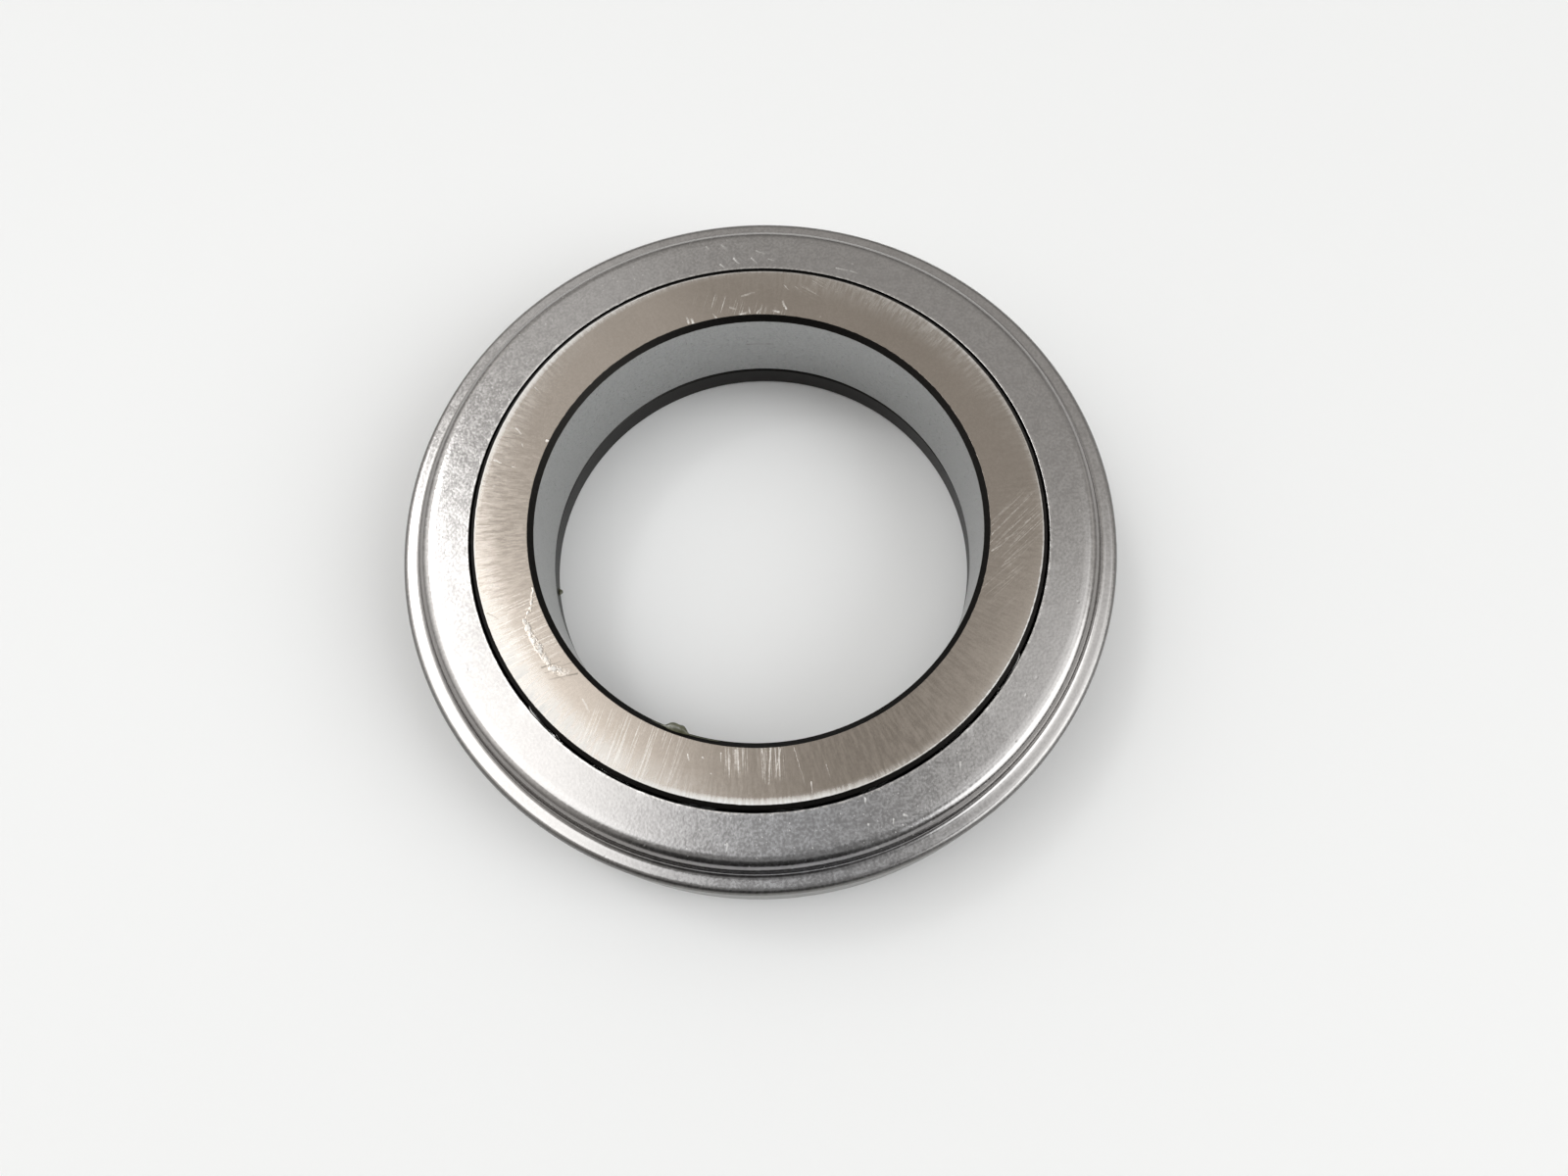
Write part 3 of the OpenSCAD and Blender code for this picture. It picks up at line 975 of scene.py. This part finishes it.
greaseDab = {
    "name": "greaseDab",
    "from": -122.0,  # degrees round the axis
    "to": -104.5,
    "middle": -115.6,  # where the lump sits
    "lumpWide": 2.6,
    "film": 0.05,  # half thickness of the film, mm
    "lump": 0.60,
    "centreR": 32.72,
    "centreZ": 20.12,
    "steps": 120,
    "ring": 32,
}

greaseFleck = {
    "name": "greaseFleck",
    "from": -178.6,
    "to": -175.6,
    "middle": -177.1,
    "lumpWide": 0.8,
    "film": 0.02,
    "lump": 0.34,
    "centreR": 32.8,
    "centreZ": 1.7,
    "steps": 40,
    "ring": 20,
}

oliveGrease = {
    "uneven": 0.35,  # how much the film comes and goes
    "lobes": 0.10,
    "lean": 0.62,  # how far the lump leans in over the bore, as a share of its size
    "sag": 0.10,
    "flat": 0.58,  # height of the section as a share of its width
    "underFace": 0.01,  # kept below the ground face
    "colors": ((0.025, 0.026, 0.012), (0.15, 0.15, 0.095)),
    "rough": (0.16, 0.20),
    "wet": 0.8,
    "wetRough": 0.08,
    "ior": 1.46,
    "height": 0.05,
}


def greaseTube(size, form):
    # An ellipse carried along an arc of the chamfer: its radius is a thin film plus a dome-shaped lump,
    # closed to nothing at both ends, and it leans in over the bore where it is thick.
    share = np.linspace(0, 1, size["steps"])[:, None]
    degrees = size["from"] + (size["to"] - size["from"]) * share
    dome = np.exp(-((degrees - size["middle"]) / size["lumpWide"]) ** 4)
    uneven = 1 + form["uneven"] * np.sin(degrees * 2.9 + 1.0) * np.sin(degrees * 1.3)
    taper = np.sqrt(np.clip(1 - (2 * share - 1) ** 8, 0, 1))
    radius = (size["film"] * uneven + size["lump"] * dome) * taper
    turn = np.linspace(0, 2 * math.pi, size["ring"], endpoint=False)
    lobes = 1 + form["lobes"] * np.sin(3 * turn + degrees * 0.8) * dome
    r = size["centreR"] - form["lean"] * size["lump"] * dome + radius * lobes * np.cos(turn)
    z = size["centreZ"] - form["sag"] * dome + form["flat"] * radius * lobes * np.sin(turn)
    z = np.minimum(z, topZ - form["underFace"])
    angle = np.radians(degrees)
    grid = np.stack([r * np.cos(angle), r * np.sin(angle), z], -1)
    quads = wrapQuads(size["steps"], size["ring"])[:-size["ring"]]
    return meshObject(size["name"], grid.reshape(-1, 3), quads)


def greaseLook(look):
    material, tree, shader = newFinish("olive grease", 0.0)
    cloud = noise(tree, objectPlace(tree), 1.4, 3.0, 0.6)
    shader.inputs["Coat Weight"].default_value = look["wet"]
    shader.inputs["Coat Roughness"].default_value = look["wetRough"]
    shader.inputs["IOR"].default_value = look["ior"]
    color = mixColor(tree, cloud, *look["colors"])
    dress(tree, shader, color, spread(tree, cloud, *look["rough"]), times(tree, cloud, look["height"]))
    return material


greaseFinish = greaseLook(oliveGrease)
for size, body in ((greaseDab, "hub"), (greaseFleck, "thrust")):
    greasePiece = greaseTube(size, oliveGrease)
    greasePiece.data.materials.append(greaseFinish)
    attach(greasePiece, body)
print("grease laid")


# floor, light and camera

floorSheet = {"half": 4000.0, "drop": 0.02, "color": (0.90, 0.90, 0.902), "rough": 0.55}


def floorPiece(size):
    half, z = size["half"], -size["drop"]
    points = np.array([[-half, -half, z], [half, -half, z], [half, half, z], [-half, half, z]])
    floor = meshObject("floor", points, np.array([[0, 1, 2, 3]]))
    material, _, shader = newFinish("pale floor", 0.0)
    shader.inputs["Base Color"].default_value = (*size["color"], 1.0)
    shader.inputs["Roughness"].default_value = size["rough"]
    floor.data.materials.append(material)


floorPiece(floorSheet)

# Soft panels round the studio, and shades that dim the grey behind them. Each has an azimuth, an elevation,
# the half angle where it is full and the one where it has faded, all in degrees, and a strength.
studio = {
    "base": (1.0, 0.98, 0.945),
    "horizon": 0.38,  # share of the base left at the horizon
    "horizonRise": (0.17, 0.85),  # sines of the heights between which it comes back
    "lowRise": (0.02, 0.12),  # and those between which a reflection still sees the backdrop
    "backdrop": (0.86, 0.86, 0.86),  # what a camera and a low reflection see beyond the floor
    "panels": [
        (168, 67, 10.5, 18, 1.6),
        (143, 57, 23, 28, 0.31),
        (171, 35, 10.5, 32, 0.48),
        (-26, 38, 12, 29, 2.9),
        (7, 66, 2, 18, 1.5),
        (137, 58, 2, 7, 8.0),
    ],
    "panelColor": (0.975, 0.995, 1.0),
    "shades": [
        (-70, 38, 43, 71, 0.67),
        (73, 46, 32, 40, 0.45),
        (-103, 28, 15, 32, 0.75),
    ],
}


def aim(azimuth, elevation):  # unit vector, from degrees
    a, e = math.radians(azimuth), math.radians(elevation)
    return (math.cos(a) * math.cos(e), math.sin(a) * math.cos(e), math.sin(e))


def studioLight(setting):
    # Radiance by direction: a grey that dims toward the horizon and behind the shades, plus soft round
    # panels.
    world = bpy.data.worlds.new("studio")
    bpy.context.scene.world = world
    world.use_nodes = True
    tree = world.node_tree
    way = vector(tree, "NORMALIZE", put(tree, "ShaderNodeTexCoord").outputs["Generated"])

    def softRound(azimuth, elevation, full, fade, strength):
        facing = measure(tree, "DOT_PRODUCT", way, aim(azimuth, elevation))
        fadeAt, fullAt = math.cos(math.radians(fade)), math.cos(math.radians(full))
        return ramp(tree, facing, fadeAt, fullAt, 0.0, strength)

    rise = put(tree, "ShaderNodeSeparateXYZ", {0: way}).outputs["Z"]
    dim = ramp(tree, rise, *setting["horizonRise"], setting["horizon"], 1.0)
    for shade in setting["shades"]:
        dim = times(tree, dim, calc(tree, "SUBTRACT", 1.0, softRound(*shade)))
    light = scaled(tree, setting["base"], dim)
    for panel in setting["panels"]:
        light = vector(tree, "ADD", light, scaled(tree, setting["panelColor"], softRound(*panel)))
    path = put(tree, "ShaderNodeLightPath").outputs
    mirrored = calc(tree, "MAXIMUM", path["Is Glossy Ray"], path["Is Transmission Ray"])
    mirrored = times(tree, mirrored, ramp(tree, rise, *setting["lowRise"], 1.0, 0.0))
    seen = calc(tree, "MAXIMUM", path["Is Camera Ray"], mirrored)
    light = mixColor(tree, seen, light, setting["backdrop"])
    tree.links.new(light, tree.nodes["Background"].inputs["Color"])


studioLight(studio)

photoView = {
    "place": (0.0, -58.44, 168.24),  # millimetres
    "pitch": 72.18,  # degrees down from level
    "yaw": 3.13,  # to the right of +Y
    "roll": -3.10,
    "lens": 25.265,
    "sensor": 36.0,
}


def photoCamera(view):
    # Looks along the pitch and the yaw; right is forward crossed with straight up, and the roll turns it.
    pitch, yaw, roll = (math.radians(view[key]) for key in ("pitch", "yaw", "roll"))
    forward = np.array([math.sin(yaw) * math.cos(pitch), math.cos(yaw) * math.cos(pitch), -math.sin(pitch)])
    right = np.cross(forward, [0, 0, 1])
    right /= np.linalg.norm(right)
    up = np.cross(right, forward)
    turned = np.eye(4)
    turned[:3, 0] = math.cos(roll) * right + math.sin(roll) * up
    turned[:3, 1] = math.cos(roll) * up - math.sin(roll) * right
    turned[:3, 2] = -forward
    turned[:3, 3] = np.array(view["place"]) * mm
    data = bpy.data.cameras.new("photo view")
    data.lens, data.sensor_width, data.sensor_fit = view["lens"], view["sensor"], "HORIZONTAL"
    data.clip_start, data.clip_end = 0.005, 50.0
    camera = bpy.data.objects.new("photo view", data)
    bpy.context.scene.collection.objects.link(camera)
    camera.matrix_world = turned.T.tolist()
    bpy.context.scene.camera = camera


photoCamera(photoView)
bpy.context.scene.view_settings.view_transform = "Standard"
print("floor, light and camera set")
